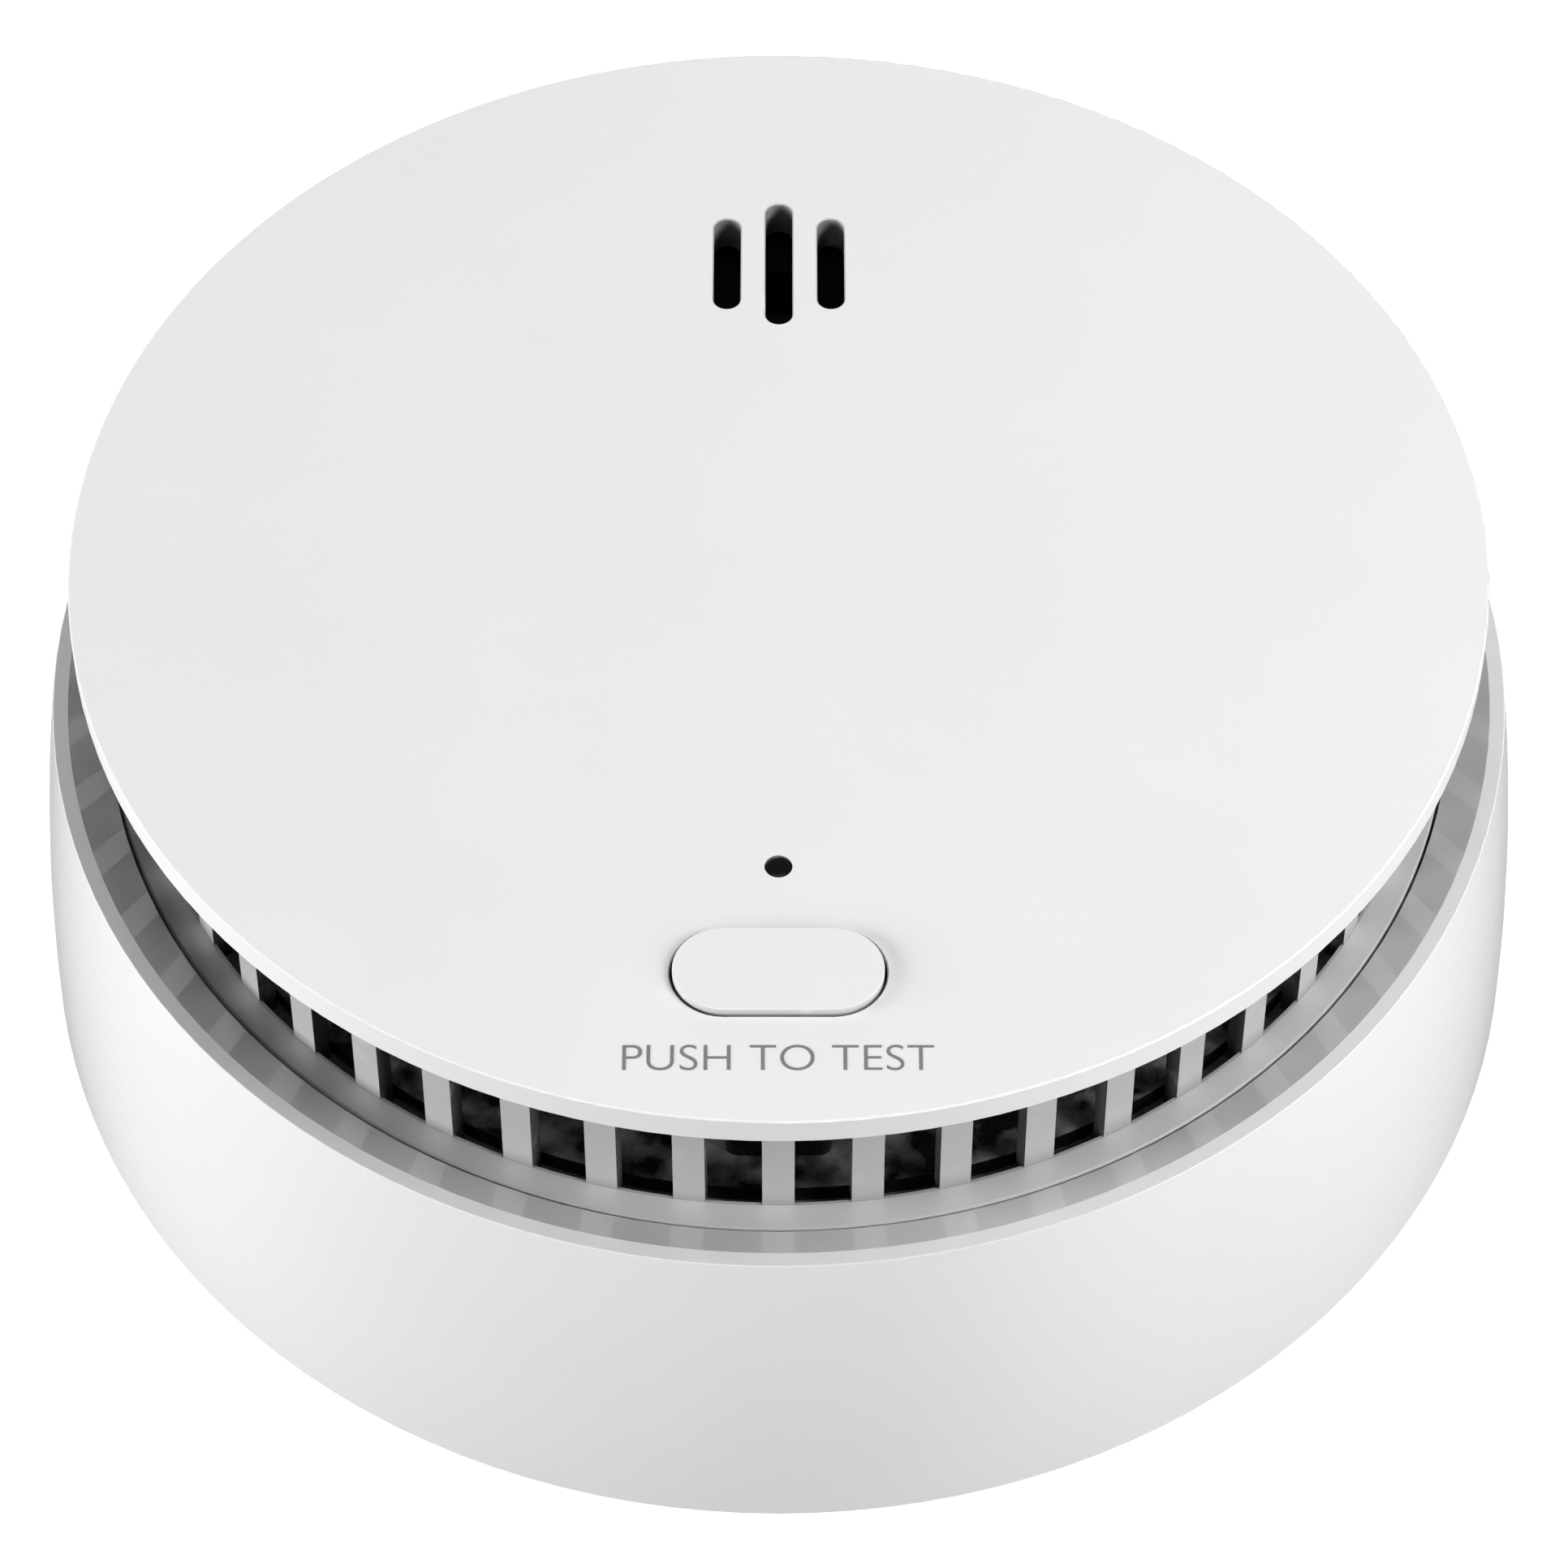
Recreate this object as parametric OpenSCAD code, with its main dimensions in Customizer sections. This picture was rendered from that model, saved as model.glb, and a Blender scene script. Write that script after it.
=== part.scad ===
// Round ceiling smoke detector, drawn face up. z = 0 is the ceiling plane that the bracket lies on,
// +x is to the right of the face, and the test button is towards -y.

/* [Body shell] */
// Diameter of the body at its foot
base_d = 120; // [116:1:140]
// How far the lip stands in from the foot, on each side
wall_flare = 2.3; // [1:0.1:4]
// Swell of the side wall half way up
wall_bulge = 0.5; // [0.1:0.1:0.9]
// Thickness of the side wall
wall_t = 2.2; // [1.6:0.1:2.8]
// Gap between the foot and the ceiling
foot_gap = 0.4; // [0.2:0.1:1]
// Width of the flat lip
lip_w = 1.2; // [0.8:0.1:2]
// Radius of the lip's outer edge
lip_edge_r = 0.1; // [0.1:0.05:0.5]
// Width of the gutter that slopes down from the lip
gutter_w = 3.1; // [2:0.1:5]
// Depth of the gutter
gutter_h = 1.7; // [1:0.1:3]
// Width of the ledge that carries the vent ring
seat_w = 2.9; // [2.4:0.1:4]
// Thickness of that ledge
seat_t = 1.8; // [1.2:0.1:3]
// Width of the ring that the rear cover is drawn up against
rest_w = 2; // [1.2:0.1:3]
// Height of that ring
rest_h = 1.6; // [1:0.1:3]

/* [Vent ring] */
// Number of vents
vent_count = 48; // [36:1:60]
// Clear height from the flange to the front cover
vent_h = 13.9; // [11:0.1:18]
// Width of one rib
rib_w = 2.4; // [1.6:0.1:3]
// Depth of one rib, along the radius
rib_depth = 1.5; // [1.2:0.1:2]
// Height of the closed band above the vents
band_h = 1.2; // [0.8:0.1:2]
// Width of the flange outside the ribs
flange_w = 2.2; // [1.6:0.1:3]
// Thickness of the flange
flange_t = 3; // [2.6:0.1:3.6]
// Width of the shelf inside the ribs
shelf_w = 3; // [2.4:0.1:3.4]
// Thickness of the shelf
shelf_t = 1.8; // [1.2:0.1:3]
// Width of the parting line round the flange
part_gap = 0.25; // [0.1:0.05:0.5]

/* [Front cover] */
// Thickness of the front cover
cap_t = 2.3; // [1.8:0.1:3]
// How far its edge stands out past the ribs
cap_overhang = 4.2; // [2:0.1:5]
// Radius of its edge
cap_edge_r = 0.15; // [0.1:0.05:0.8]
// Thickness of the locating rim under it
rim_t = 1; // [0.8:0.1:1.4]
// Height of the locating rim
rim_h = 1.3; // [0.8:0.1:1.4]
// Number of snaps that hold it to the vent ring
snap_count = 6; // [3:1:8]
// How far a snap reaches under the band of the vent ring
snap_reach = 0.8; // [0.5:0.1:1]
// Break along the edges of its openings
edge_break = 0.1; // [0.1:0.05:0.3]
// Width of a sounder slot
slot_w = 2.2; // [1.6:0.1:2.8]
// Length of the middle sounder slot
slot_long = 13.5; // [10:0.1:15]
// Length of the outer sounder slots
slot_short = 10.1; // [6:0.1:11]
// Spacing of the sounder slots
slot_pitch = 4.2; // [3.6:0.1:5]
// From the edge of the cover to the middle of the sounder
sounder_inset = 24.3; // [22:0.1:26]
// From the edge of the cover to the indicator
led_inset = 23.5; // [22.5:0.1:25]
// Diameter of the indicator hole
led_hole_d = 2.1; // [1.6:0.1:2.6]

/* [Test button] */
// Length of the button
button_l = 15.6; // [13:0.1:18]
// Width of the button
button_w = 7.6; // [7:0.1:8.4]
// Gap round the button
button_gap = 0.22; // [0.15:0.01:0.4]
// Radius of the button's upper edge
button_edge_r = 0.1; // [0.1:0.05:0.5]
// How far the button stands out of the cover
button_proud = 0.5; // [0.3:0.05:1]
// From the edge of the cover to the middle of the button
button_inset = 13.6; // [13:0.1:15]
// Travel of the button
button_travel = 0.5; // [0.3:0.05:0.8]
// Wall of the button
button_wall = 1.2; // [0.8:0.1:1.6]
// Reach of the two wings that keep the button in
wing_w = 1.7; // [1.2:0.1:2.4]
// Thickness of a wing
wing_t = 1.1; // [0.8:0.1:1.6]
// Diameter of the button's stem
stem_d = 4.4; // [3.6:0.1:5]
// Width of the post that guides the stem
guide_w = 8; // [7:0.1:9]
// Length of that post, towards the edge of the cover
guide_l = 9.2; // [7:0.1:10]
// Radius of its corners
guide_r = 1; // [0.5:0.1:2]

/* [Twist lock] */
// Thickness of the bracket's plate
bracket_t = 2; // [1.6:0.1:3]
// Width of the bracket's raised edge
bracket_rim_w = 1.6; // [1.2:0.1:2.4]
// Height of the raised edge and the ribs above the plate
bracket_rib_h = 1.2; // [0.8:0.1:2]
// Thickness of the bracket's ribs
bracket_rib_t = 1.4; // [1:0.1:2]
// Number of hooks
hook_count = 3; // [2:1:4]
// Angle that a hook's tab covers
tab_deg = 16; // [12:1:20]
// Angle of the twist that frees the body
unlock_deg = 20; // [18:1:24]
// Thickness of a hook's tab
tab_t = 1.4; // [1:0.1:2]
// Thickness of a hook's upright
hook_t = 2.4; // [1.8:0.1:3]
// Thickness of the collar on the rear cover
collar_t = 2; // [1.6:0.1:3]
// Width of the collar's lip, which the tabs hold
lock_w = 3; // [2:0.1:4]
// Thickness of the collar's lip
lock_t = 1.6; // [1.2:0.1:2.4]
// Distance between two ceiling screws
screw_pitch = 60; // [50:1:68]
// Length of a ceiling screw's slot
screw_slot_l = 12; // [8:0.5:14]
// Width of a ceiling screw's slot
screw_slot_w = 4.4; // [3.5:0.1:5]

/* [Inside] */
// Thickness of the rear cover
cover_t = 1.8; // [1.4:0.1:2.4]
// Diameter of the battery cell
cell_d = 14.5; // [12:0.1:17]
// Length of the battery cell
cell_l = 50.5; // [40:0.5:54]
// Middle of the cell, towards the sounder
cell_y = 8; // [5:0.5:10]
// Thickness of the circuit board
board_t = 1.6; // [1:0.1:2]
// Height of the floor above the board
board_gap = 1.5; // [1.2:0.1:3]
// Thickness of the inner frame's floor
floor_t = 1.6; // [1.2:0.1:2.4]
// How far that floor lies below the flange
floor_drop = 0.4; // [0.2:0.1:1]
// Diameter of the three clamping posts
post_d = 6.5; // [6:0.1:8]
// From the edge of the board to a post
post_inset = 5.7; // [5.4:0.1:7]
// Diameter of the smoke chamber
chamber_d = 38; // [35:0.5:39]
// Number of vanes in the smoke chamber
vane_count = 20; // [16:1:22]
// Diameter of the sounder
sounder_d = 28; // [26:0.5:30]
// Thickness of the gasket over the sounder
gasket_t = 1.2; // [0.8:0.1:2]

/* [Clearances] */
// Gap round pieces that are put in by hand
fit_gap = 0.3; // [0.2:0.05:0.4]
// Gap round shanks and stems in their bores
bore_gap = 0.06; // [0.04:0.01:0.1]

/* [Hidden] */
$fn = 96;
eps = 0.1;

// Radii of the housing, from the foot inwards
base_r = base_d / 2;
lip_r = base_r - wall_flare;
lip_in_r = lip_r - lip_w;
seat_r = lip_in_r - gutter_w;
seat_in_r = seat_r - seat_w;
flange_r = seat_r - part_gap;
rib_r = flange_r - flange_w;
rib_in_r = rib_r - rib_depth;
skirt_r = seat_in_r - fit_gap;
shelf_r = rib_in_r - shelf_w;
cap_r = rib_r + cap_overhang;
rim_r = rib_in_r - fit_gap / 2;
frame_r = rib_in_r - fit_gap;
flange_edge = 0.15;
vent_lip = 0.2;
band_step = 0.1;
board_r = shelf_r - fit_gap;

// Heights of the stack, from the ceiling to the face
lock_gap = 0.4;
lock_z = bracket_t + lock_gap;
lock_top = lock_z + lock_t;
tab_z = lock_top + fit_gap;
tab_top = tab_z + tab_t;
cover_gap = 0.5;
cover_z = tab_top + cover_gap;
cover_top = cover_z + cover_t;
cell_z = cover_top + fit_gap + cell_d / 2;
cell_room = 0.9;
board_z = cell_z + cell_d / 2 + cell_room;
board_top = board_z + board_t;
floor_z = board_top + board_gap;
floor_top = floor_z + floor_t;
flange_z = floor_top + floor_drop;
cap_z = flange_z + vent_h;
face_z = cap_z + cap_t;
lip_z = flange_z + gutter_h;
seat_z = flange_z - flange_t;
shelf_z = floor_z - shelf_t;

// Radii of the twist lock, from the wall inwards
rim_room = 0.8;
bracket_r = base_r - wall_t - rim_room;
collar_room = 1.2;
collar_r = bracket_r - bracket_rim_w - collar_room;
lock_r = collar_r - collar_t;
lock_in_r = lock_r - lock_w;
tab_r = lock_r - fit_gap;
hook_r = lock_in_r - fit_gap;
hook_in_r = hook_r - hook_t;
brace_r = hook_in_r - bracket_rib_t;
notch_spare = 2;
notch_deg = tab_deg + 2 * notch_spare;
notch_relief = 0.4;
stop_deg = 4;
first_hook = 90;
stop_gap_deg = arc_deg(fit_gap, lock_r);
pad_r = 8;

// Angle between two vents, and the vents that take the snaps of the front cover
vent_pitch = 360 / vent_count;
vent_w = rib_in_r * vent_pitch * PI / 180 - rib_w;
snap_room = 0.6;
snap_w = vent_w - 2 * snap_room;
catch_w = snap_w - 2 * fit_gap;
snap_t = 0.8;
snap_h = 1;
snap_top = cap_z - band_h - fit_gap;
snap_z = snap_top - snap_h - fit_gap;

// Places on the face
sounder_y = cap_r - sounder_inset;
led_y = led_inset - cap_r;
button_y = button_inset - cap_r;

// Stem and switch under the button
hole_l = button_l + 2 * button_gap;
hole_w = button_w + 2 * button_gap;
wing_top = cap_z - fit_gap;
wing_z = wing_top - wing_t;
wing_l = 4.4;
guide_top = wing_z - button_travel - 2 * fit_gap;
switch_w = 4.5;
switch_h = 2.8;
switch_top = board_top + switch_h;
plunger_d = 2.4;
plunger_h = 1.2;
plunger_seat = 1.2;
plunger_top = switch_top + plunger_h;
push_gap = 0.05;

// Light pipe over the indicator
led_h = 1.2;
led_l = 3.2;
led_w = 1.6;
led_lens_l = 2.2;
pipe_d = 3;
pipe_collar_d = 4.6;
pipe_collar_h = 1;
pipe_guide_d = 5.4;
pipe_guide_h = 6;
pipe_tip_d = led_hole_d - 2 * bore_gap;
pipe_recess = 0.1;
pipe_tip_edge = 0.25;

// Rings that centre the sounder and the smoke chamber on the floor
ring_t = 1;
ring_h = 2;
ring_space = 0.8;
sounder_r = sounder_d / 2;
chamber_r = chamber_d / 2;
sounder_ring_r = sounder_r + fit_gap + ring_t;
chamber_ring_r = chamber_r + fit_gap + ring_t;
chamber_y = sounder_y - sounder_ring_r - ring_space - chamber_ring_r;

// Sounder
sounder_wall = 1.2;
sounder_top = cap_z - gasket_t;
port_r = 2.5;
gasket_w = 4.6;
gasket_r = sounder_r - fit_gap;
gasket_in_r = gasket_r - gasket_w;
boss_r = gasket_in_r - fit_gap;
boss_z = sounder_top + fit_gap;
brass_t = 0.25;
ceramic_t = 0.25;
brass_r = sounder_r - sounder_wall - fit_gap;
ceramic_rim = 3.5;
ceramic_r = brass_r - ceramic_rim;
piezo_rise = 6.4;
piezo_z = floor_top + piezo_rise;
nodal_w = 1.4;
nodal_h = 1.2;
contact_r = brass_r - nodal_w;
pin_r = 0.8;
pin_tip_r = 0.45;
pin_spread = 4;
pin_rise = 3;

// Smoke chamber
base_t = 2;
base_top = floor_top + base_t;
lid_t = 1.4;
lid_top = cap_z - fit_gap;
lid_z = lid_top - lid_t;
plug_r = 13.5;
screen_edge = 0.7;
screen_t = 0.4;
screen_r = chamber_r - screen_edge;
screen_in_r = screen_r - screen_t;
screen_rows = 6;
screen_columns = 40;
screen_wire = 0.5;
vane_out_r = screen_in_r - fit_gap;
vane_reach = 4.8;
vane_in_r = vane_out_r - vane_reach;
vane_t = 1.5;
vane_kink = 4.6;
optics_rise = 4;
optics_z = base_top + optics_rise;
emitter_deg = 200;
receiver_deg = 340;
lens_r = 1.5;
lead_w = 0.5;
lead_pitch = 2.54;
lead_slot = lead_w + 2 * fit_gap;

// Optical parts, measured outwards from the middle of the chamber
holder_x = 5.9;
holder_l = 3.5;
holder_w = 5.8;
holder_rise = 2.6;
emitter_nose = 0.5;
emitter_tip_x = holder_x - emitter_nose;
emitter_flange_x = holder_x + holder_l;
emitter_flange_l = 0.6;
emitter_flange_w = 0.4;
emitter_flange_r = lens_r + emitter_flange_w;
emitter_lead_l = 1.5;
emitter_lead_x = emitter_flange_x + emitter_lead_l;
diode_step = 0.1;
diode_x = holder_x + diode_step;
diode_l = 2.5;
diode_w = 4.4;
diode_h = 5;
diode_lead_x = diode_x + diode_l / 2 + lead_w / 2;
diode_pocket_w = diode_w + fit_gap;
diode_back = 2;

// Clamping posts and screws
post_count = 3;
first_post = 60;
post_c = board_r - post_inset;
post_boss_h = 2.5;
post_z = cover_top + post_boss_h;
house_shank_r = 1.25;
house_head_r = 2.6;
house_head_h = 1.9;
house_sink = 0.4;
house_bite = 10;
sink_r = house_head_r + fit_gap;
sink_wall = 1.4;
sink_top = cover_z + house_sink + house_head_h;
board_shank_r = 0.9;
board_head_r = 2;
board_head_h = 1.3;
board_boss_r = 2.6;
board_bite = 2.6;
recess_w = 0.22;
recess_l = 0.66;
recess_h = 0.6;
board_screw_c = post_c;
first_board_screw = 0;

// Cell cradle and tabs
saddle_x = 15;
saddle_t = 2;
saddle_drop = 1.5;
saddle_wall = 1.2;
nub_d = 5.5;
nub_h = 1.5;
crimp = 0.6;
strip_t = 0.3;
strip_w = 4;
cell_end = cell_l / 2;

// Parts under the board, placed from the cell
part_space = 12;
part_y = cell_y - cell_d / 2 - part_space;
chip_x = 4;
driver_x = 22;
coil_x = -16;
capacitor_x = -28;
capacitor_step = 6;
capacitor_y = part_y + capacitor_step;
coil_r = 4;
coil_wire_r = 3.5;
coil_h = 9;
coil_flange = 1.5;
capacitor_r = 3.15;
capacitor_neck_r = 2.8;
capacitor_h = 11;
capacitor_foot = 1.6;
capacitor_neck = 0.7;
chip_w = 7.5;
chip_leads = 16;
driver_w = 3.9;
driver_leads = 8;
chip_h = 2.1;
chip_lift = 0.15;
chip_pitch = 1.27;
chip_reach = 1.3;
chip_lead_t = 0.25;

// Outline of the side wall: s runs from 0 at the foot to 1 at the lip
wall_steps = 12;
edge_steps = 4;
function wall_r(s) = base_r - wall_flare * s + 4 * wall_bulge * s * (1 - s);
function wall_z(s) = foot_gap + (lip_z - foot_gap) * s;
function wall_in_r(z) = base_r - wall_t - wall_flare * (z - foot_gap) / (lip_z - foot_gap);
cover_r = wall_in_r(cover_top) - fit_gap;

// Angle of an arc of length w at radius r
function arc_deg(w, r) = w / r * 180 / PI;

// Ring of rectangular section; deg and at give a sector and its middle
module ring(r0, r1, z0, z1, deg = 360, at = 0) {
  rotate(at - deg / 2)
    rotate_extrude(angle = deg)
      translate([r0, z0])
        square([r1 - r0, z1 - z0]);
}

// Round bar along z
module bar(r, z0, z1) {
  translate([0, 0, z0])
    cylinder(r = r, h = z1 - z0);
}

// Block centred on x and y
module block(x, y, z0, z1) {
  translate([-x / 2, -y / 2, z0])
    cube([x, y, z1 - z0]);
}

// Block centred on x and y, with rounded uprights
module soft_block(x, y, r, z0, z1) {
  translate([0, 0, z0])
    linear_extrude(z1 - z0) {
      square([x - 2 * r, y], center = true);
      square([x, y - 2 * r], center = true);
      for (u = [-1, 1], v = [-1, 1])
        translate([u * (x / 2 - r), v * (y / 2 - r)])
          circle(r = r);
    }
}

// Outline with round ends, along x
module obround(l, w) {
  square([l - w, w], center = true);
  for (s = [-1, 1])
    translate([s * (l - w) / 2, 0])
      circle(d = w);
}

// Bar with round ends
module obround_bar(l, w, z0, z1) {
  translate([0, 0, z0])
    linear_extrude(z1 - z0)
      obround(l, w);
}

// Bar with round ends and a rounded upper edge
module soft_obround_bar(l, w, z0, z1, r) {
  for (s = [-1, 1])
    translate([s * (l - w) / 2, 0, 0])
      rotate_extrude()
        soft_half(w / 2, z0, z1, r);
  translate([(w - l) / 2, 0, 0])
    rotate([90, 0, 90])
      linear_extrude(l - w) {
        soft_half(w / 2, z0, z1, r);
        mirror([1, 0])
          soft_half(w / 2, z0, z1, r);
      }
}

// Half of its section, out from the middle
module soft_half(x, z0, z1, r) {
  translate([0, z0])
    square([x - r, z1 - z0]);
  translate([0, z0])
    square([x, z1 - r - z0]);
  translate([x - r, z1 - r])
    circle(r = r);
}

// Sloping band round an obround bar: it grows by grow on each side from z0 to z1
module obround_bevel(l, w, z0, z1, grow) {
  for (s = [-1, 1])
    translate([s * (l - w) / 2, 0, z0])
      cylinder(h = z1 - z0, r1 = w / 2, r2 = w / 2 + grow);
  translate([(w - l) / 2, 0, 0])
    rotate([90, 0, 90])
      linear_extrude(l - w)
        polygon([[-w / 2, z0], [w / 2, z0], [w / 2 + grow, z1], [-w / 2 - grow, z1]]);
}

// Obround cut through the front cover from z0 up, with its upper edge broken
module face_cut(l, w, z0 = cap_z) {
  obround_bar(l, w, z0 - eps, face_z + eps);
  obround_bevel(l, w, face_z - edge_break, face_z + eps, edge_break + eps);
}

module at_posts() {
  for (i = [0:post_count - 1])
    rotate(first_post + i * 360 / post_count)
      translate([post_c, 0, 0])
        children();
}

module at_board_screws() {
  for (i = [0:post_count - 1])
    rotate(first_board_screw + i * 360 / post_count)
      translate([board_screw_c, 0, 0])
        children();
}

// Frame of one optical part: +x points away from the middle of the chamber
module in_chamber(deg) {
  translate([0, chamber_y, 0])
    rotate(deg)
      children();
}

module mounting_bracket() {
  rib_top = bracket_t + bracket_rib_h;
  root_z = bracket_t / 2;
  color("whitesmoke")
    difference() {
      union() {
        bar(bracket_r, 0, bracket_t);
        ring(bracket_r - bracket_rim_w, bracket_r, bracket_t, rib_top);
        ring(brace_r - bracket_rib_t, brace_r, root_z, rib_top);
        ring(pad_r - bracket_rib_t, pad_r, root_z, rib_top);
        for (a = [45:90:315])
          rotate(a)
            translate([pad_r - bracket_rib_t / 2, -bracket_rib_t / 2, root_z])
              cube([brace_r - pad_r, bracket_rib_t, rib_top - root_z]);
        for (i = [0:hook_count - 1])
          bracket_hook(first_hook + i * 360 / hook_count);
      }
      for (a = [0:90:270])
        rotate(a)
          translate([screw_pitch / 2, 0, 0])
            obround_bar(screw_slot_l, screw_slot_w, -eps, bracket_t + eps);
    }
}

module bracket_hook(at) {
  ring(hook_in_r, hook_r, bracket_t / 2, tab_top, tab_deg, at);
  ring(hook_in_r, tab_r, tab_z, tab_top, tab_deg, at);
}

module rear_cover() {
  root_z = cover_z + cover_t / 2;
  color("whitesmoke")
    difference() {
      union() {
        bar(cover_r, cover_z, cover_top);
        rear_lock(root_z);
        at_posts()
          bar(sink_r + sink_wall, root_z, post_z);
        for (s = [-1, 1])
          translate([s * saddle_x, cell_y, 0])
            block(saddle_t, cell_d + 2 * saddle_wall, root_z, cell_z - saddle_drop);
        for (s = [-1, 1])
          translate([s * (cell_end + strip_t + fit_gap + saddle_t / 2), cell_y, 0])
            block(saddle_t, cell_d - 2 * saddle_wall, root_z, cell_z - saddle_drop);
      }
      at_posts() {
        bar(sink_r, cover_z - eps, sink_top);
        bar(house_shank_r + fit_gap, cover_z, post_z + eps);
      }
      translate([-cell_end, cell_y, cell_z])
        rotate([0, 90, 0])
          cylinder(r = cell_d / 2 + bore_gap, h = cell_l);
    }
}

// Collar whose lip the tabs hold, with the notches that let the tabs in and the stops of the twist
module rear_lock(root_z) {
  difference() {
    rotate_extrude()
      polygon([
        [lock_in_r, lock_z], [collar_r, lock_z], [collar_r, root_z], [lock_r, root_z],
        [lock_r, lock_top], [lock_in_r, lock_top]
      ]);
    for (i = [0:hook_count - 1])
      ring(lock_in_r - eps, lock_r + notch_relief, lock_z - eps, tab_top, notch_deg,
           first_hook + i * 360 / hook_count - unlock_deg);
  }
  for (i = [0:hook_count - 1])
    ring(lock_in_r + fit_gap, lock_r + collar_t / 2, lock_z + lock_t / 2, tab_top, stop_deg,
         first_hook + i * 360 / hook_count + tab_deg / 2 + stop_gap_deg + stop_deg / 2);
}

module body_shell() {
  rest_top = cover_top + rest_h;
  rest_r = cover_r - rest_w;
  under_z = seat_z - seat_t;
  knee_z = under_z - (wall_in_r(under_z) - seat_r);
  edge_s = 1 - lip_edge_r / (lip_z - foot_gap);
  edge_z = lip_z - lip_edge_r;
  edge_c = wall_r(edge_s) - lip_edge_r;
  outside = [for (i = [0:wall_steps]) let (s = edge_s * i / wall_steps) [wall_r(s), wall_z(s)]];
  edge = [
    for (i = [1:edge_steps]) let (a = 90 * i / edge_steps)
      [edge_c + lip_edge_r * cos(a), edge_z + lip_edge_r * sin(a)]
  ];
  gutter = [[lip_in_r, lip_z], [seat_r, flange_z], [seat_r, seat_z], [seat_in_r, seat_z]];
  inside = [
    [seat_in_r, under_z], [seat_r, under_z], [wall_in_r(knee_z), knee_z],
    [wall_in_r(rest_top), rest_top], [rest_r, rest_top], [rest_r, cover_top],
    [wall_in_r(cover_top), cover_top], [base_r - wall_t, foot_gap]
  ];
  color("white")
    rotate_extrude()
      polygon(concat(outside, edge, gutter, inside));
}

// Flange and shelf in one ring, with ribs that stand in the trench between them and carry a band
module vent_ring() {
  trench_r = rib_r - vent_lip;
  root_z = (seat_z + floor_z) / 2;
  color("white") {
    rotate_extrude()
      polygon([
        [shelf_r, shelf_z], [skirt_r, shelf_z], [skirt_r, seat_z], [flange_r, seat_z],
        [flange_r, flange_z - flange_edge], [flange_r - flange_edge, flange_z],
        [trench_r, flange_z], [trench_r, floor_z], [shelf_r, floor_z]
      ]);
    for (i = [0:vent_count - 1])
      ring(rib_in_r, rib_r, root_z, cap_z - band_h / 2, arc_deg(rib_w, rib_r), i * vent_pitch - 90);
    ring(rib_in_r + band_step, rib_r - band_step, cap_z - band_h, cap_z);
  }
}

// Cover with a boss under the sounder slots, which makes them deeper and sits inside the gasket
module front_cover() {
  color("white")
    difference() {
      union() {
        rotate_extrude() {
          soft_half(cap_r, cap_z, face_z, cap_edge_r);
          translate([rim_r - rim_t, cap_z - rim_h])
            square([rim_t, rim_h + eps]);
        }
        translate([0, sounder_y, 0])
          bar(boss_r, boss_z, cap_z + cap_t / 2);
      }
      translate([0, sounder_y, 0])
        rotate(90)
          face_cut(slot_long, slot_w, boss_z);
      for (s = [-1, 1])
        translate([s * slot_pitch, sounder_y, 0])
          rotate(90)
            face_cut(slot_short, slot_w, boss_z);
      translate([0, led_y, 0])
        bar(led_hole_d / 2, cap_z - eps, face_z + eps);
      translate([0, button_y, 0])
        face_cut(hole_l, hole_w);
    }
  color("white")
    for (i = [0:snap_count - 1])
      cover_snap((floor(i * vent_count / snap_count) + 0.5) * vent_pitch - 90);
}

// Tongue behind the locating rim, whose catch reaches through a vent and under the band
module cover_snap(at) {
  tongue_r = rim_r - (rim_t - snap_t) / 2;
  ring(tongue_r - snap_t, tongue_r, snap_z, cap_z + cap_t / 2, arc_deg(snap_w, rim_r), at);
  ring(tongue_r - snap_t / 2, rib_in_r + snap_reach, snap_top - snap_h, snap_top, arc_deg(catch_w, rim_r), at);
}

module test_button() {
  top = face_z + button_proud;
  color("white")
    translate([0, button_y, 0]) {
      difference() {
        union() {
          soft_obround_bar(button_l, button_w, wing_z, top, button_edge_r);
          block(button_l + 2 * wing_w, wing_l, wing_z, wing_top);
        }
        obround_bar(button_l - 2 * button_wall, button_w - 2 * button_wall, wing_z - eps, cap_z);
      }
      bar(stem_d / 2, plunger_top + push_gap, cap_z + eps);
    }
}

module inner_frame() {
  color("#1b1b1c")
    difference() {
      union() {
        bar(frame_r, floor_z, floor_top);
        at_posts()
          bar(post_d / 2, post_z, floor_top);
        at_board_screws()
          bar(board_boss_r, board_top, floor_top);
        translate([0, button_y, 0])
          soft_block(guide_w, guide_l, guide_r, floor_z, guide_top);
        translate([0, led_y, 0])
          bar(pipe_guide_d / 2, floor_z, floor_top + pipe_guide_h);
        translate([0, sounder_y, 0])
          ring(sounder_ring_r - ring_t, sounder_ring_r, floor_z, floor_top + ring_h);
        translate([0, chamber_y, 0])
          ring(chamber_ring_r - ring_t, chamber_ring_r, floor_z, floor_top + ring_h);
      }
      at_posts()
        bar(house_shank_r + bore_gap, post_z - eps, sink_top + house_bite + fit_gap);
      at_board_screws()
        bar(board_shank_r + bore_gap, board_top - eps, board_top + board_bite);
      translate([0, button_y, 0]) {
        bar(stem_d / 2 + fit_gap, floor_z - eps, guide_top + eps);
        block(switch_w + 2 * fit_gap, switch_w + 2 * fit_gap, floor_z - eps, floor_top);
      }
      translate([0, led_y, 0])
        bar(pipe_d / 2 + fit_gap / 2, floor_z - eps, floor_top + pipe_guide_h + eps);
      translate([0, sounder_y, 0])
        bar(contact_r, floor_z - eps, floor_top + eps);
      translate([0, chamber_y, 0])
        bar(plug_r + fit_gap, floor_z - eps, floor_top + eps);
    }
}

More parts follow.
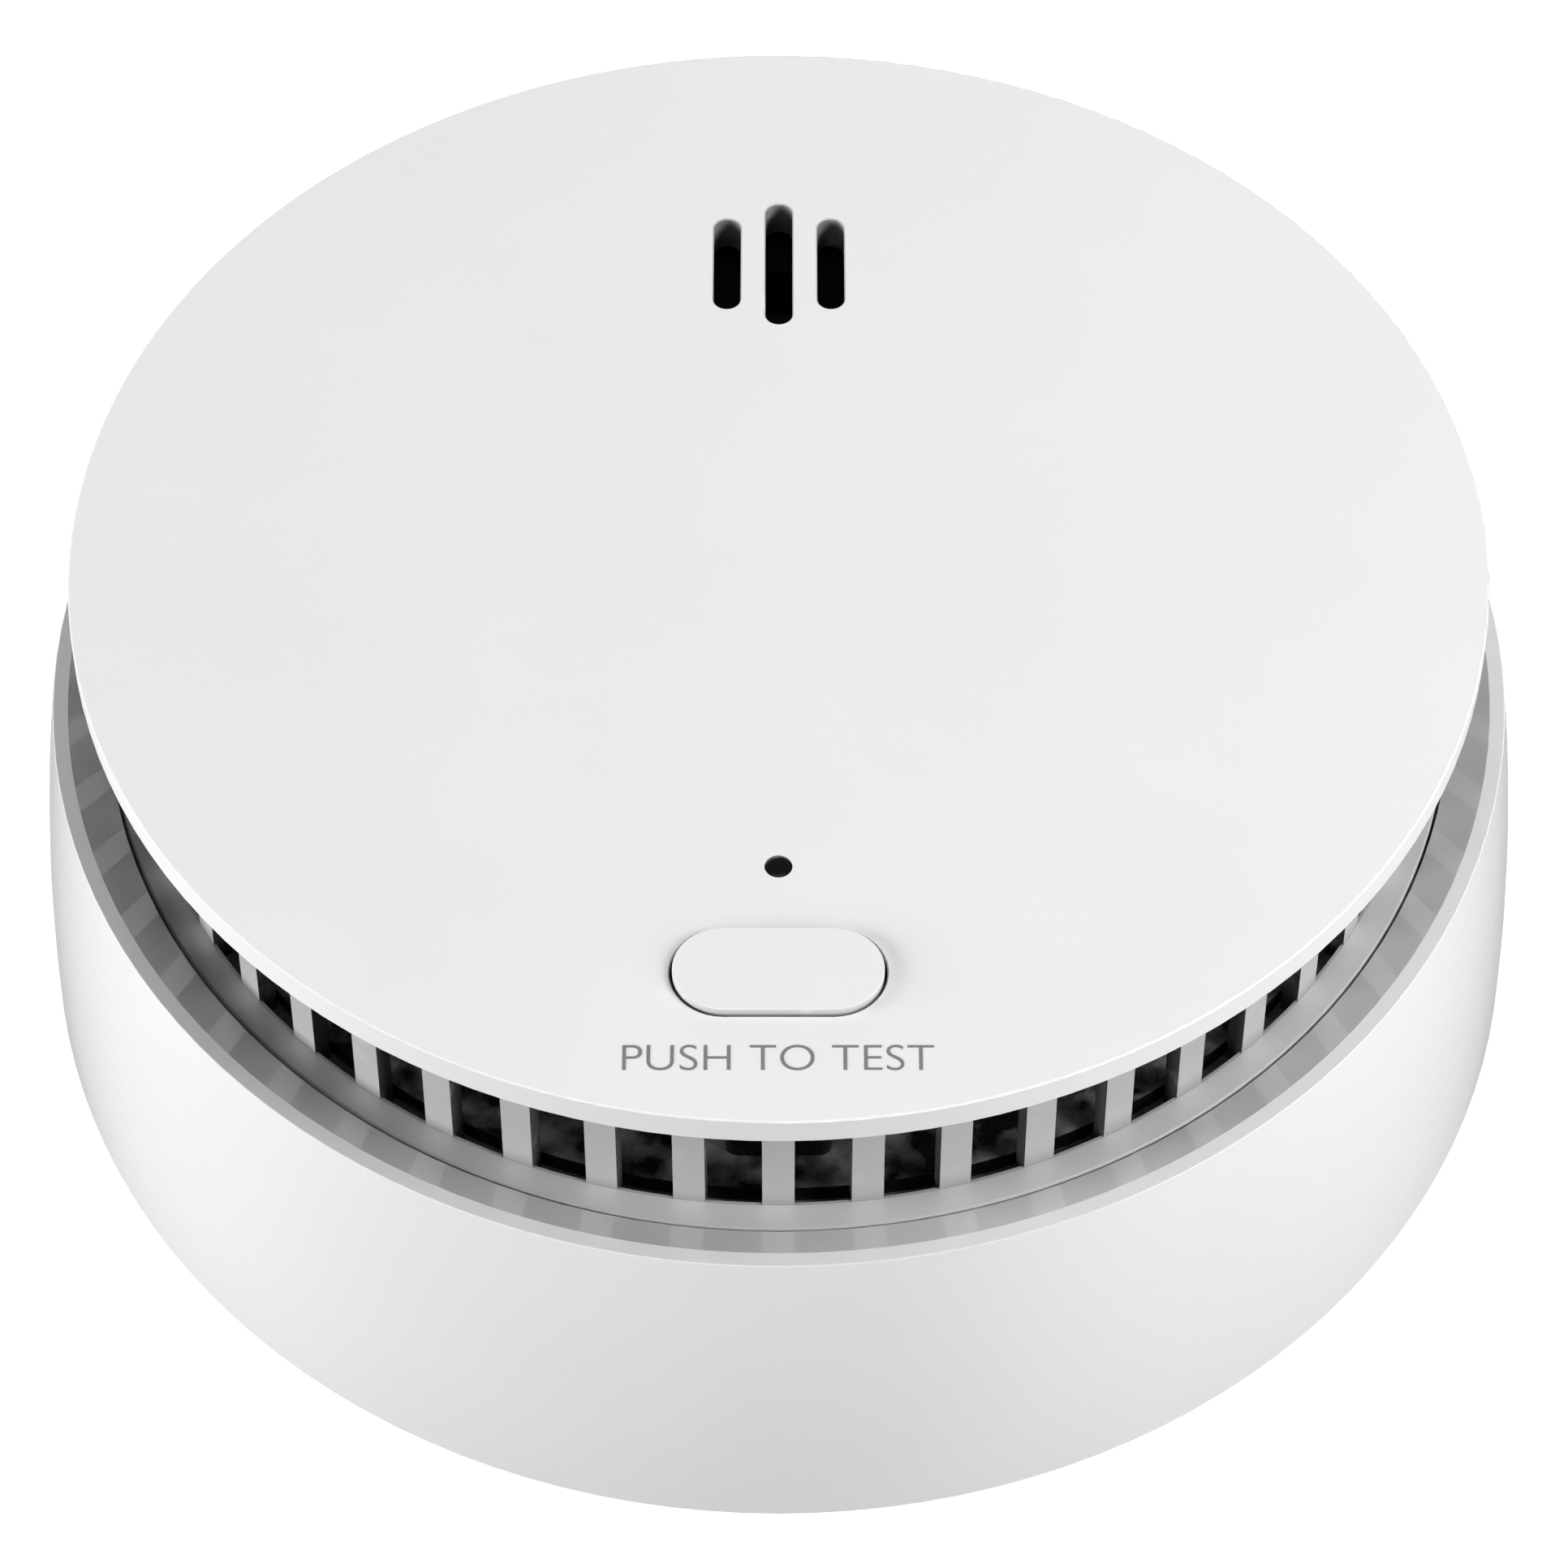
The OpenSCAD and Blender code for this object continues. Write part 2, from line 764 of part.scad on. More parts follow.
module circuit_board() {
  color("#1f5c38")
    difference() {
      bar(board_r, board_z, board_top);
      at_posts()
        bar(post_d / 2 + fit_gap, board_z - eps, board_top + eps);
      at_board_screws()
        bar(board_shank_r + fit_gap, board_z - eps, board_top + eps);
    }
}

module switch_body() {
  color("#202022")
    translate([0, button_y, 0])
      difference() {
        block(switch_w, switch_w, board_top, switch_top);
        bar(plunger_d / 2 + bore_gap, switch_top - plunger_seat - button_travel - fit_gap, switch_top + eps);
      }
}

module switch_plunger() {
  color("#3a3a3c")
    translate([0, button_y, 0])
      bar(plunger_d / 2, switch_top - plunger_seat, plunger_top);
}

module status_led() {
  color("ivory")
    translate([0, led_y, 0]) {
      block(led_l, led_w, board_top, board_top + led_h / 2);
      block(led_lens_l, led_w, board_top, board_top + led_h);
    }
}

module light_pipe() {
  collar_z = floor_top + pipe_guide_h;
  color("lightcyan", 0.6)
    translate([0, led_y, 0]) {
      bar(pipe_d / 2, board_top + led_h + fit_gap, cap_z - fit_gap);
      bar(pipe_collar_d / 2, collar_z, collar_z + pipe_collar_h);
      rotate_extrude()
        soft_half(pipe_tip_d / 2, cap_z - fit_gap - eps, face_z - pipe_recess, pipe_tip_edge);
    }
}

module chamber_base() {
  holder_top = optics_z + holder_rise;
  color("#141415")
    difference() {
      union() {
        translate([0, chamber_y, 0]) {
          bar(chamber_r, floor_top, base_top);
          bar(plug_r, board_top, base_top);
        }
        in_chamber(emitter_deg)
          translate([holder_x, -holder_w / 2, floor_top])
            cube([holder_l, holder_w, holder_top - floor_top]);
        in_chamber(receiver_deg)
          translate([holder_x, -holder_w / 2, floor_top])
            cube([diode_l + diode_back, holder_w, holder_top - floor_top]);
      }
      in_chamber(emitter_deg) {
        translate([holder_x - eps, 0, optics_z])
          rotate([0, 90, 0])
            cylinder(r = lens_r + bore_gap, h = holder_l + 2 * eps);
        translate([emitter_lead_x, 0, 0])
          block(lead_slot, lead_pitch + lead_slot, board_top - eps, base_top + eps);
      }
      in_chamber(receiver_deg) {
        translate([holder_x - eps, -diode_pocket_w / 2, optics_z - diode_h / 2])
          cube([diode_l + fit_gap, diode_pocket_w, diode_h + holder_rise]);
        translate([diode_lead_x, 0, 0])
          block(lead_slot, lead_pitch + lead_slot, board_top - eps, holder_top);
      }
    }
}

// Cover of the smoke chamber: a ring of bent vanes lets smoke in and keeps light out
module chamber_cover() {
  kink_r = (vane_in_r + vane_out_r) / 2;
  half = vane_t / 2;
  color("#141415")
    translate([0, chamber_y, 0]) {
      bar(chamber_r, lid_z, lid_top);
      for (i = [0:vane_count - 1])
        rotate(i * 360 / vane_count)
          translate([0, 0, base_top])
            linear_extrude(lid_z + eps - base_top)
              polygon([
                [vane_in_r, -half], [kink_r, vane_kink - half], [vane_out_r, -half],
                [vane_out_r, half], [kink_r, vane_kink + half], [vane_in_r, half]
              ]);
    }
}

// Band of mesh round the vanes: rings and uprights
module insect_screen() {
  row_h = (lid_z - base_top - screen_wire) / screen_rows;
  color("#6f7173")
    translate([0, chamber_y, 0]) {
      for (i = [0:screen_rows])
        ring(screen_in_r, screen_r, base_top + i * row_h, base_top + i * row_h + screen_wire);
      for (i = [0:screen_columns - 1])
        rotate(i * 360 / screen_columns)
          translate([screen_in_r + screen_t / 4, -screen_wire / 2, base_top])
            cube([screen_t / 2, screen_wire, lid_z - base_top]);
    }
}

module ir_emitter() {
  lead_root_x = emitter_flange_x + emitter_flange_l / 2;
  flange_at = emitter_flange_x - emitter_tip_x;
  color("#8f9bb3")
    in_chamber(emitter_deg) {
      translate([emitter_tip_x, 0, optics_z])
        rotate([0, 90, 0])
          rotate_extrude() {
            intersection() {
              circle(r = lens_r);
              translate([0, -lens_r])
                square(lens_r);
            }
            square([lens_r, flange_at]);
            translate([0, flange_at])
              square([emitter_flange_r, emitter_flange_l]);
          }
      for (s = [-1, 1])
        translate([0, s * lead_pitch / 2, 0]) {
          translate([lead_root_x, -lead_w / 2, optics_z - lead_w / 2])
            cube([emitter_lead_x - lead_root_x + lead_w / 2, lead_w, lead_w]);
          translate([emitter_lead_x, 0, 0])
            block(lead_w, lead_w, board_top, optics_z + lead_w / 2);
        }
    }
}

module photodiode() {
  color("#2b2230")
    in_chamber(receiver_deg) {
      translate([diode_x + diode_l / 2, 0, 0])
        block(diode_l, diode_w, optics_z - diode_h / 2, optics_z + diode_h / 2);
      translate([diode_x + lens_r / 2, 0, optics_z])
        sphere(r = lens_r);
      for (s = [-1, 1])
        translate([diode_lead_x, s * lead_pitch / 2, 0])
          block(lead_w, lead_w, board_top, optics_z);
    }
}

module sounder_case() {
  brass_top = piezo_z + ceramic_t + brass_t;
  color("#1d1d1e")
    translate([0, sounder_y, 0]) {
      ring(sounder_r - sounder_wall, sounder_r, floor_top, sounder_top);
      ring(port_r, sounder_r, sounder_top - sounder_wall, sounder_top);
      ring(brass_r - nodal_w, sounder_r, brass_top, brass_top + nodal_h);
    }
}

module piezo_disc() {
  color("goldenrod")
    translate([0, sounder_y, 0]) {
      bar(brass_r, piezo_z + ceramic_t, piezo_z + ceramic_t + brass_t);
      bar(ceramic_r, piezo_z, piezo_z + ceramic_t + brass_t / 2);
    }
}

module sounder_gasket() {
  color("#2a2a2b")
    translate([0, sounder_y, 0])
      ring(gasket_in_r, gasket_r, sounder_top, cap_z);
}

// Spring contacts from the board to the disc: two on the ceramic, one on the brass
module sounder_pins() {
  color("gold")
    translate([0, sounder_y, 0]) {
      sounder_pin(-pin_spread, 0, piezo_z);
      sounder_pin(pin_spread, 0, piezo_z);
      sounder_pin(0, pin_r + fit_gap - contact_r, piezo_z + ceramic_t);
    }
}

module sounder_pin(x, y, top) {
  barrel_top = floor_top + pin_rise;
  translate([x, y, 0]) {
    bar(pin_r, board_top, barrel_top);
    bar(pin_tip_r, barrel_top - eps, top);
  }
}

module battery_cell() {
  color("#c9ccd1")
    translate([-cell_end, cell_y, cell_z])
      rotate([0, 90, 0])
        rotate_extrude() {
          square([cell_d / 2, cell_l - nub_h - crimp]);
          square([cell_d / 2 - crimp, cell_l - nub_h]);
          square([nub_d / 2, cell_l]);
        }
}

// Welded strips that carry the cell's ends up to the board
module battery_tabs() {
  color("silver")
    for (s = [-1, 1])
      translate([s * (cell_end + strip_t / 2), cell_y, 0])
        block(strip_t, strip_w, cell_z - strip_w / 2, board_z);
}

// Chip under the board with bent leads on both long sides
module small_chip(x, y, leads, width) {
  length = chip_pitch * leads / 2;
  body_top = board_z - chip_lift;
  lead_z = body_top - chip_h / 2;
  root = width / 2 - chip_lead_t;
  knee = (width + chip_reach) / 2;
  toe = width / 2 + chip_reach;
  color("#19191b")
    translate([x, y, 0]) {
      block(length, width, body_top - chip_h, body_top);
      for (i = [0:leads / 2 - 1], turn = [0, 180])
        rotate(turn)
          translate([(i + 0.5) * chip_pitch - length / 2 - chip_lead_t, 0, 0])
            rotate([90, 0, 90])
              linear_extrude(2 * chip_lead_t)
                polygon([
                  [root, lead_z], [knee, lead_z], [knee, board_z - chip_lead_t],
                  [toe, board_z - chip_lead_t], [toe, board_z], [knee - chip_lead_t, board_z],
                  [knee - chip_lead_t, lead_z + chip_lead_t], [root, lead_z + chip_lead_t]
                ]);
    }
}

module controller_chip() {
  small_chip(chip_x, part_y, chip_leads, chip_w);
}

module driver_chip() {
  small_chip(driver_x, part_y, driver_leads, driver_w);
}

// Coil on a drum core, standing on the underside of the board
module boost_coil() {
  color("#4a2f22")
    translate([coil_x, part_y, 0]) {
      bar(coil_r, board_z - coil_flange, board_z);
      bar(coil_wire_r, board_z - coil_h, board_z);
      bar(coil_r, board_z - coil_h, board_z - coil_h + coil_flange);
    }
}

module filter_capacitor() {
  color("#22304f")
    translate([capacitor_x, capacitor_y, 0]) {
      bar(capacitor_r, board_z - capacitor_foot, board_z);
      bar(capacitor_neck_r, board_z - capacitor_h, board_z);
      bar(capacitor_r, board_z - capacitor_h, board_z - capacitor_foot - capacitor_neck);
    }
}

module housing_screws() {
  color("lightgray")
    at_posts() {
      screw_head(house_head_r, sink_top - house_head_h, sink_top);
      bar(house_shank_r, sink_top - eps, sink_top + house_bite);
    }
}

module board_screws() {
  color("lightgray")
    at_board_screws() {
      screw_head(board_head_r, board_z - board_head_h, board_z);
      bar(board_shank_r, board_z - eps, board_top + board_bite - fit_gap);
    }
}

// Head that faces the ceiling, with a cross recess sized by the head
module screw_head(r, z0, z1) {
  recess_z = z0 + recess_h * (z1 - z0);
  difference() {
    bar(r, z0, z1);
    block(2 * r * recess_l, 2 * r * recess_w, z0 - eps, recess_z);
    block(2 * r * recess_w, 2 * r * recess_l, z0 - eps, recess_z);
  }
}

mounting_bracket();
rear_cover();
body_shell();
vent_ring();
front_cover();
test_button();
inner_frame();
circuit_board();
switch_body();
switch_plunger();
status_led();
light_pipe();
chamber_base();
chamber_cover();
insect_screen();
ir_emitter();
photodiode();
sounder_case();
piezo_disc();
sounder_gasket();
sounder_pins();
battery_cell();
battery_tabs();
controller_chip();
driver_chip();
boost_coil();
filter_capacitor();
housing_screws();
board_screws();
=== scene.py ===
import math
import bmesh
import bpy
from mathutils import Matrix, Vector


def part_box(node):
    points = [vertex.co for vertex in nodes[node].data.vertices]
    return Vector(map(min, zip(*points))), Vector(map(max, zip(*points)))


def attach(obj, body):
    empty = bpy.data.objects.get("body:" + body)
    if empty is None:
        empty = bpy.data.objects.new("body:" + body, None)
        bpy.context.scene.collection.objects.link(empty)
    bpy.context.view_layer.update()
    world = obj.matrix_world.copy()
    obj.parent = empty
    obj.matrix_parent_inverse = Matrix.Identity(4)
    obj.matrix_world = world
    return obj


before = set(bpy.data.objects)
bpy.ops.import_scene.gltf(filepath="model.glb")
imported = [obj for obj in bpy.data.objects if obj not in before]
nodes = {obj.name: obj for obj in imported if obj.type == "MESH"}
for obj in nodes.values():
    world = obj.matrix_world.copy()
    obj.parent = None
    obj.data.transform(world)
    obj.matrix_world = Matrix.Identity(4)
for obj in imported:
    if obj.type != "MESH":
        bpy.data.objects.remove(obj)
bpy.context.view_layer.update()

scene = bpy.context.scene
mm = 0.001
white = (1.0, 1.0, 1.0, 1.0)
level = (1, 1, 0)  # keeps the part of a place that lies along the face

# Sockets of a Mix node, by number because its numbers and colours share their names
mixFactor, mixNumberA, mixNumberB, mixColourA, mixColourB = 0, 2, 3, 6, 7
mixNumberOut, mixColourOut = 0, 2


def hexToLinear(code):
    parts = [int(code[i:i + 2], 16) / 255 for i in (1, 3, 5)]
    linear = [p / 12.92 if p <= 0.04045 else ((p + 0.055) / 1.055) ** 2.4 for p in parts]
    return (*linear, 1.0)


def addNode(tree, kind, settings=None, links=None):
    node = tree.nodes.new(kind)
    for key, value in (settings or {}).items():
        if isinstance(key, int) or key in node.inputs:
            node.inputs[key].default_value = value
        else:
            setattr(node, key, value)
    for key, socket in (links or {}).items():
        tree.links.new(socket, node.inputs[key])
    return node


def startMaterial(name):
    material = bpy.data.materials.new(name)
    material.use_nodes = True
    tree = material.node_tree
    tree.nodes.clear()
    place = addNode(tree, "ShaderNodeTexCoord")
    shader = addNode(tree, "ShaderNodeBsdfPrincipled")
    addNode(tree, "ShaderNodeOutputMaterial", {}, {"Surface": shader.outputs["BSDF"]})
    return material, tree, place.outputs["Object"], shader


def perMm(size):
    return 1 / (size * mm)  # noise scale whose features are about this many millimetres


# Noise values between which a drift of colour or gloss runs from one end to the other, and those of
# the painted shade and patches: nearly everywhere, or in patches
driftEnds = (0.25, 0.75)
allOver = (0.1, 0.4)
inPatches = (0.42, 0.68)
noiseDetail = {"cloud": 4.0, "paintedShadeAndPatches": 5.0, "grain": 2.0}
facingEnds = (0.6, 0.9)  # how squarely a face looks up or along the ring, between which its painted shade and patches change

# One entry per material slot: two colours that drift into each other over cloudSize, gloss that changes
# with a fine grain, and the strength and depth of that grain's relief; all sizes in millimetres
looks = {
    # shell: even white with a soft gloss outside, and a polished gutter that mirrors the ribs
    "white_shell": {
        "name": "mouldedWhiteAbs", "colour": "#ECECEC", "cloud": "#E9E9E9", "cloudSize": 18,
        "rough": (0.14, 0.16), "grain": 0.16, "bump": 0.01, "depth": 0.01, "ior": 1.53, "shine": 0.75,
        "polish": {"within": 56.6, "rough": 0.05}},
    # vent ring: greyer than the shell, which is painted shade for its place under the front cover, with a
    # duller mould; its ribs carry darker painted shade, and the sides of its vents the darkest painted shade
    "white_vent": {
        "name": "ventWhiteAbs", "colour": "#D4D4D3", "cloud": "#CFCFCE", "cloudSize": 14,
        "rough": (0.20, 0.27), "grain": 0.16, "bump": 0.05, "depth": 0.02, "ior": 1.53,
        "paintedShadeAndPatches": [{"on": "any", "colour": "#B2B2B1", "size": 6.0, "spread": allOver, "within": 51.0},
                 {"on": "across", "colour": "#5A5A59", "size": 3.0, "spread": allOver}]},
    # front cover: satin white that spreads the lamps to a soft gradient, with painted shade on its rim and
    # other upright faces, and darker painted shade inside its slots and holes and on the catches that show in
    # the vents
    "white_cover": {
        "name": "satinWhiteAbs", "colour": "#F7F7F7", "cloud": "#F4F4F4", "cloudSize": 20,
        "rough": (0.32, 0.40), "grain": 0.14, "bump": 0.05, "depth": 0.02, "ior": 1.53, "shine": 0.4,
        "paintedShadeAndPatches": [{"on": "upright", "colour": "#EBEBEB", "size": 9.0, "spread": allOver},
                 {"on": "upright", "colour": "#8A8A89", "size": 3.0, "spread": allOver, "within": 52}]},
    # button: the same satin, slightly duller, with painted shade on its sides in the gap round them
    "white_button": {
        "name": "buttonWhiteAbs", "colour": "#F6F6F6", "cloud": "#F3F3F3", "cloudSize": 9,
        "rough": (0.38, 0.46), "grain": 0.14, "bump": 0.05, "depth": 0.02, "ior": 1.53, "shine": 0.35,
        "paintedShadeAndPatches": [{"on": "upright", "colour": "#CFCFCE", "size": 3.0, "spread": allOver}]},
    # bracket and rear cover: spark-eroded texture that looks matt
    "white_bracket": {
        "name": "texturedWhiteAbs", "colour": "#E9E9E5", "cloud": "#E3E3DE", "cloudSize": 22,
        "rough": (0.44, 0.56), "grain": 0.35, "bump": 0.25, "depth": 0.03, "ior": 1.53},
    # inner frame: near-black, semi-gloss, with lighter grey patches on its upward faces that show as grey
    # smudges
    "black_frame": {
        "name": "mouldedBlackAbs", "colour": "#0A0A0B", "cloud": "#141415", "cloudSize": 4.5,
        "rough": (0.18, 0.40), "grain": 0.9, "bump": 0.12, "depth": 0.02,
        "paintedShadeAndPatches": [{"on": "up", "colour": "#9C9C9C", "size": 3.2, "spread": inPatches}]},
    # smoke chamber: dead black that soaks up light
    "optic_black": {
        "name": "mattOpticBlack", "colour": "#070708", "cloud": "#0D0D0E", "cloudSize": 5,
        "rough": (0.55, 0.70), "grain": 0.3, "bump": 0.3, "depth": 0.03, "shine": 0.1},
    # insect screen: etched steel, dull grey with darker etch marks
    "screen_steel": {
        "name": "etchedSteelMesh", "colour": "#6A6C6E", "cloud": "#505254", "cloudSize": 1.6,
        "rough": (0.30, 0.50), "grain": 0.2, "bump": 0.2, "depth": 0.02, "metal": 1.0},
    # solder mask: glossy green over a glass weave
    "board_laminate": {
        "name": "greenSolderMask", "colour": "#1F5B38", "cloud": "#174A2C", "cloudSize": 3,
        "rough": (0.22, 0.36), "grain": 0.6, "bump": 0.2, "depth": 0.02},
    # chips and switch: moulded epoxy with a fine matt grain
    "chip_epoxy": {
        "name": "mouldedChipEpoxy", "colour": "#1B1B1C", "cloud": "#272728", "cloudSize": 1.2,
        "rough": (0.50, 0.65), "grain": 0.1, "bump": 0.3, "depth": 0.01},
    # coil: dark brown ferrite, slightly rough
    "coil_ferrite": {
        "name": "ferriteDrum", "colour": "#4A2F22", "cloud": "#38241A", "cloudSize": 1.5,
        "rough": (0.50, 0.70), "grain": 0.2, "bump": 0.3, "depth": 0.02},
    # capacitor: shrunk plastic sleeve with a soft sheen
    "capacitor_can": {
        "name": "sleevedCan", "colour": "#22304F", "cloud": "#1B2742", "cloudSize": 2,
        "rough": (0.24, 0.36), "grain": 0.5, "bump": 0.2, "depth": 0.02},
    # light pipe: acrylic tinted so dark that its polished tip looks like a black lens in the face
    "smoked_acrylic": {
        "name": "smokedAcrylic", "colour": "#060607", "cloud": "#0B0B0C", "cloudSize": 3,
        "rough": (0.02, 0.04), "grain": 0.8, "bump": 0.05, "depth": 0.01, "ior": 1.49},
    # indicator: cream package
    "led_package": {
        "name": "ledPackage", "colour": "#E8E2C8", "cloud": "#DDD6BA", "cloudSize": 0.8,
        "rough": (0.25, 0.40), "grain": 0.2, "bump": 0.1, "depth": 0.01},
    # light source of the chamber: blue-grey tinted epoxy
    "ir_epoxy": {
        "name": "tintedEpoxy", "colour": "#5A6484", "cloud": "#4E5776", "cloudSize": 1.5,
        "rough": (0.08, 0.14), "grain": 0.5, "bump": 0.05, "depth": 0.01},
    # receiver: near-black filter epoxy, glossy
    "diode_epoxy": {
        "name": "filterEpoxy", "colour": "#241C2B", "cloud": "#1D1623", "cloudSize": 1.5,
        "rough": (0.10, 0.20), "grain": 0.5, "bump": 0.05, "depth": 0.01},
    # sounder disc: rolled brass, streaked one way
    "piezo_brass": {
        "name": "rolledBrass", "colour": "#C9A558", "cloud": "#B8934A", "cloudSize": 2,
        "rough": (0.25, 0.40), "grain": 0.4, "bump": 0.1, "depth": 0.01, "metal": 1.0,
        "stretch": (0.08, 1.0, 1.0)},
    # spring contacts: bright gold plate
    "pin_gold": {
        "name": "goldPlate", "colour": "#D8B25A", "cloud": "#CCA54E", "cloudSize": 1,
        "rough": (0.15, 0.25), "grain": 0.3, "bump": 0.05, "depth": 0.01, "metal": 1.0},
    # gasket: foam with a pitted, light-soaking face
    "gasket_foam": {
        "name": "closedCellFoam", "colour": "#2A2A2B", "cloud": "#1B1B1C", "cloudSize": 0.6,
        "rough": (0.80, 0.95), "grain": 0.45, "bump": 0.8, "depth": 0.08},
    # cell: bright drawn can, with faint draw lines along it
    "cell_can": {
        "name": "drawnNickelCan", "colour": "#C9CCD1", "cloud": "#BFC2C8", "cloudSize": 3,
        "rough": (0.20, 0.32), "grain": 0.4, "bump": 0.1, "depth": 0.01, "metal": 1.0,
        "stretch": (0.08, 1.0, 1.0)},
    # welded strips: rolled nickel, streaked along their length
    "nickel_strip": {
        "name": "nickelStrip", "colour": "#C6C3BA", "cloud": "#B5B2A9", "cloudSize": 1.5,
        "rough": (0.25, 0.40), "grain": 0.2, "bump": 0.1, "depth": 0.01, "metal": 1.0,
        "stretch": (1.0, 1.0, 0.1)},
    # screws: zinc plate with a mottled grey bloom
    "screw_steel": {
        "name": "zincPlate", "colour": "#C3C5C6", "cloud": "#AEB1B3", "cloudSize": 1.2,
        "rough": (0.25, 0.42), "grain": 0.2, "bump": 0.1, "depth": 0.01, "metal": 1.0},
}


def insideMask(tree, place, radius):
    flat = addNode(tree, "ShaderNodeVectorMath", {"operation": "MULTIPLY", 1: level}, {0: place})
    far = addNode(tree, "ShaderNodeVectorMath", {"operation": "LENGTH"}, {0: flat.outputs[0]})
    mask = addNode(tree, "ShaderNodeMath", {"operation": "LESS_THAN", 1: radius * mm},
                   {0: far.outputs["Value"]})
    return mask.outputs[0]


def facingMask(tree, place, normal, way):
    if way == "across":  # faces that look along the ring, such as the sides of a vent
        flat = addNode(tree, "ShaderNodeVectorMath", {"operation": "MULTIPLY", 1: level}, {0: place})
        radial = addNode(tree, "ShaderNodeVectorMath", {"operation": "NORMALIZE"}, {0: flat.outputs[0]})
        normal = addNode(tree, "ShaderNodeVectorMath", {"operation": "CROSS_PRODUCT"},
                         {0: radial.outputs[0], 1: normal}).outputs[0]
    lean = addNode(tree, "ShaderNodeSeparateXYZ", {}, {0: normal}).outputs["Z"]
    if way != "up":
        lean = addNode(tree, "ShaderNodeMath", {"operation": "ABSOLUTE"}, {0: lean}).outputs[0]
    low, high = facingEnds
    first, last = (1.0, 0.0) if way == "upright" else (0.0, 1.0)
    mask = addNode(tree, "ShaderNodeMapRange",
                   {"From Min": low, "From Max": high, "To Min": first, "To Max": last}, {"Value": lean})
    return mask.outputs["Result"]


# Mask of painted shade on the white parts, and of grey patches on the inner frame: noise, limited to faces
# that look one way and to a radius
def paintedShadeAndPatchMask(tree, place, normal, paintedShadeAndPatches):
    patch = addNode(tree, "ShaderNodeTexNoise",
                    {"Scale": perMm(paintedShadeAndPatches["size"]), "Detail": noiseDetail["paintedShadeAndPatches"]}, {"Vector": place})
    low, high = paintedShadeAndPatches["spread"]
    mask = addNode(tree, "ShaderNodeMapRange", {"From Min": low, "From Max": high},
                   {"Value": patch.outputs["Fac"]})
    limits = []
    if paintedShadeAndPatches["on"] != "any":
        limits.append(facingMask(tree, place, normal, paintedShadeAndPatches["on"]))
    if "within" in paintedShadeAndPatches:
        limits.append(insideMask(tree, place, paintedShadeAndPatches["within"]))
    for limit in limits:
        mask = addNode(tree, "ShaderNodeMath", {"operation": "MULTIPLY"}, {0: mask.outputs[0], 1: limit})
    return mask.outputs[0]


def makeFinish(look):
    material, tree, place, shader = startMaterial(look["name"])
    normal = place.node.outputs["Normal"]
    if "stretch" in look:
        streak = addNode(tree, "ShaderNodeMapping", {"Scale": look["stretch"]}, {"Vector": place})
        place = streak.outputs["Vector"]
    low, high = driftEnds
    cloud = addNode(tree, "ShaderNodeTexNoise",
                    {"Scale": perMm(look["cloudSize"]), "Detail": noiseDetail["cloud"]}, {"Vector": place})
    drift = addNode(tree, "ShaderNodeMapRange", {"From Min": low, "From Max": high},
                    {"Value": cloud.outputs["Fac"]})
    tint = addNode(tree, "ShaderNodeMix",
                   {"data_type": "RGBA", mixColourA: hexToLinear(look["colour"]),
                    mixColourB: hexToLinear(look["cloud"])},
                   {mixFactor: drift.outputs["Result"]})
    colour = tint.outputs[mixColourOut]
    # painted shade, and on the inner frame grey patches, mixed over the drifting colour
    for paintedShadeAndPatches in look.get("paintedShadeAndPatches", ()):
        paintedOver = addNode(tree, "ShaderNodeMix",
                         {"data_type": "RGBA", mixColourB: hexToLinear(paintedShadeAndPatches["colour"])},
                         {mixFactor: paintedShadeAndPatchMask(tree, place, normal, paintedShadeAndPatches), mixColourA: colour})
        colour = paintedOver.outputs[mixColourOut]
    grain = addNode(tree, "ShaderNodeTexNoise",
                    {"Scale": perMm(look["grain"]), "Detail": noiseDetail["grain"]}, {"Vector": place})
    glossy, dull = look["rough"]
    gloss = addNode(tree, "ShaderNodeMapRange",
                    {"From Min": low, "From Max": high, "To Min": glossy, "To Max": dull},
                    {"Value": grain.outputs["Fac"]})
    rough = gloss.outputs["Result"]
    if "polish" in look:
        polish = look["polish"]
        polished = addNode(tree, "ShaderNodeMix", {mixNumberB: polish["rough"]},
                           {mixFactor: insideMask(tree, place, polish["within"]), mixNumberA: rough})
        rough = polished.outputs[mixNumberOut]
    relief = addNode(tree, "ShaderNodeBump", {"Strength": look["bump"], "Distance": look["depth"] * mm},
                     {"Height": grain.outputs["Fac"]})
    shader.inputs["Metallic"].default_value = look.get("metal", 0.0)
    shader.inputs["IOR"].default_value = look.get("ior", 1.5)
    shader.inputs["Specular IOR Level"].default_value = look.get("shine", 0.5)
    tree.links.new(colour, shader.inputs["Base Color"])
    tree.links.new(rough, shader.inputs["Roughness"])
    tree.links.new(relief.outputs["Normal"], shader.inputs["Normal"])
    return material


materials = {slot: makeFinish(look) for slot, look in looks.items()}
for piece in nodes.values():
    for spot in piece.material_slots:
        spot.material = materials[spot.material.name.split(".")[0]]
print("finishes on", len(nodes), "pieces")

# Words under the button, in the generic form that test buttons carry; sizes in millimetres, but for thin
# and draftDepth, which are in the font's own units
legend = {"words": "PUSH TO TEST", "middle": -49.35, "height": 2.3, "width": 22.6, "proud": 0.02,
          "sunk": 0.02, "thin": -0.012, "draftDepth": 0.5, "colour": "#7E7E7E", "fleck": "#8C8C8C",
          "fleckSize": 0.4, "rough": 0.5}


